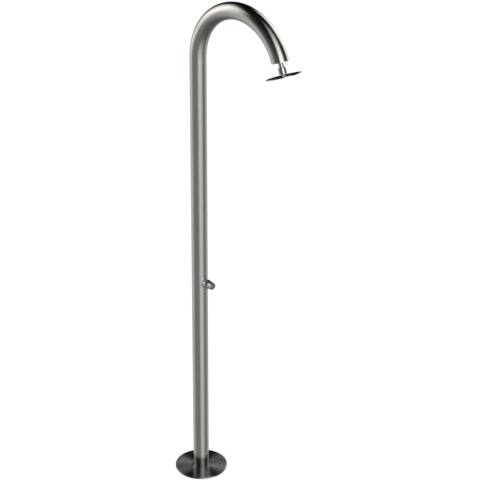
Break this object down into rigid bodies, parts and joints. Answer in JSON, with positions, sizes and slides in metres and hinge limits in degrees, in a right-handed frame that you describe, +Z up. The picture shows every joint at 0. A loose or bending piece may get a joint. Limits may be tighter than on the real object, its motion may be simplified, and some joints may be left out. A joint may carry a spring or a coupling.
{
  "type": "outdoor shower post",
  "caption": "Bent steel outdoor shower post: bolted foot under a sliding cover, self-closing push valve and a slim swivelling rain head.",
  "frame": {"origin": "on the floor at the axis of the post and of the floor bolts", "axes": "+Z up along the post, +X from the post towards the arm's end and the button"},
  "size_m": [0.6588, 0.236, 2.23],
  "materials": {
    "satin_steel": "satin brushed along its length, round on the cover",
    "head_steel": "polished stainless",
    "plain_steel": "plain",
    "chrome": "polished",
    "brass": "turned",
    "black_rubber": "matte",
    "silicone": "soft matte",
    "white_plastic": "moulded",
    "fibre": "fibre",
    "braid": "steel braid over rubber"
  },
  "bodies": {
    "post": {"post_tube": "satin_steel", "base_flange": "plain_steel", "arm_end_cap": "satin_steel", "outlet_nipple": "chrome", "swivel_nut": "chrome", "valve_body": "brass", "valve_neck": "brass", "neck_o_ring": "black_rubber", "valve_gasket": "black_rubber", "valve_saddle": "chrome", "valve_collar": "chrome", "cartridge_sleeve": "white_plastic", "sleeve_o_rings": "black_rubber", "retaining_ring": "plain_steel", "rod_seals": "black_rubber", "return_spring": "plain_steel", "inlet_tail": "brass", "supply_hose": "braid", "riser_hose": "braid", "hose_tails": "brass", "hose_nuts": "brass", "hose_washers": "fibre", "hose_ferrules": "plain_steel"},
    "cover": {"base_cover": "satin_steel", "cover_seal": "black_rubber"},
    "button": {"push_button": "chrome", "button_insert": "chrome", "button_screw": "plain_steel", "plunger_rod": "plain_steel", "piston": "white_plastic", "piston_seal": "black_rubber", "valve_disc": "black_rubber", "disc_washer": "brass", "disc_nut": "plain_steel"},
    "swivel": {"ball_seat": "white_plastic"},
    "head": {"ball_stem": "chrome", "head_hub": "chrome", "back_plate": "head_steel", "face_plate": "head_steel", "nozzle_mat": "silicone"}
  },
  "joints": [
    {"name": "cover_slide", "type": "slide", "parent": "post", "child": "cover", "axis": [0, 0, 1], "range_m": [0, 0.92]},
    {"name": "button_press", "type": "slide", "parent": "post", "child": "button", "axis": [-1, 0, 0], "range_m": [0, 0.008], "stiffness_N_per_m": 1500, "springref_m": -0.006, "deforming": ["return_spring"]},
    {"name": "head_swivel", "type": "hinge", "parent": "post", "child": "swivel", "pos_m": [0.46917, 0, 2.00373], "axis": [0.342, 0, -0.9397], "continuous": true},
    {"name": "head_tilt", "type": "hinge", "parent": "swivel", "child": "head", "pos_m": [0.46917, 0, 2.00373], "axis": [0, 1, 0], "range_deg": [-15, 15]}
  ]
}
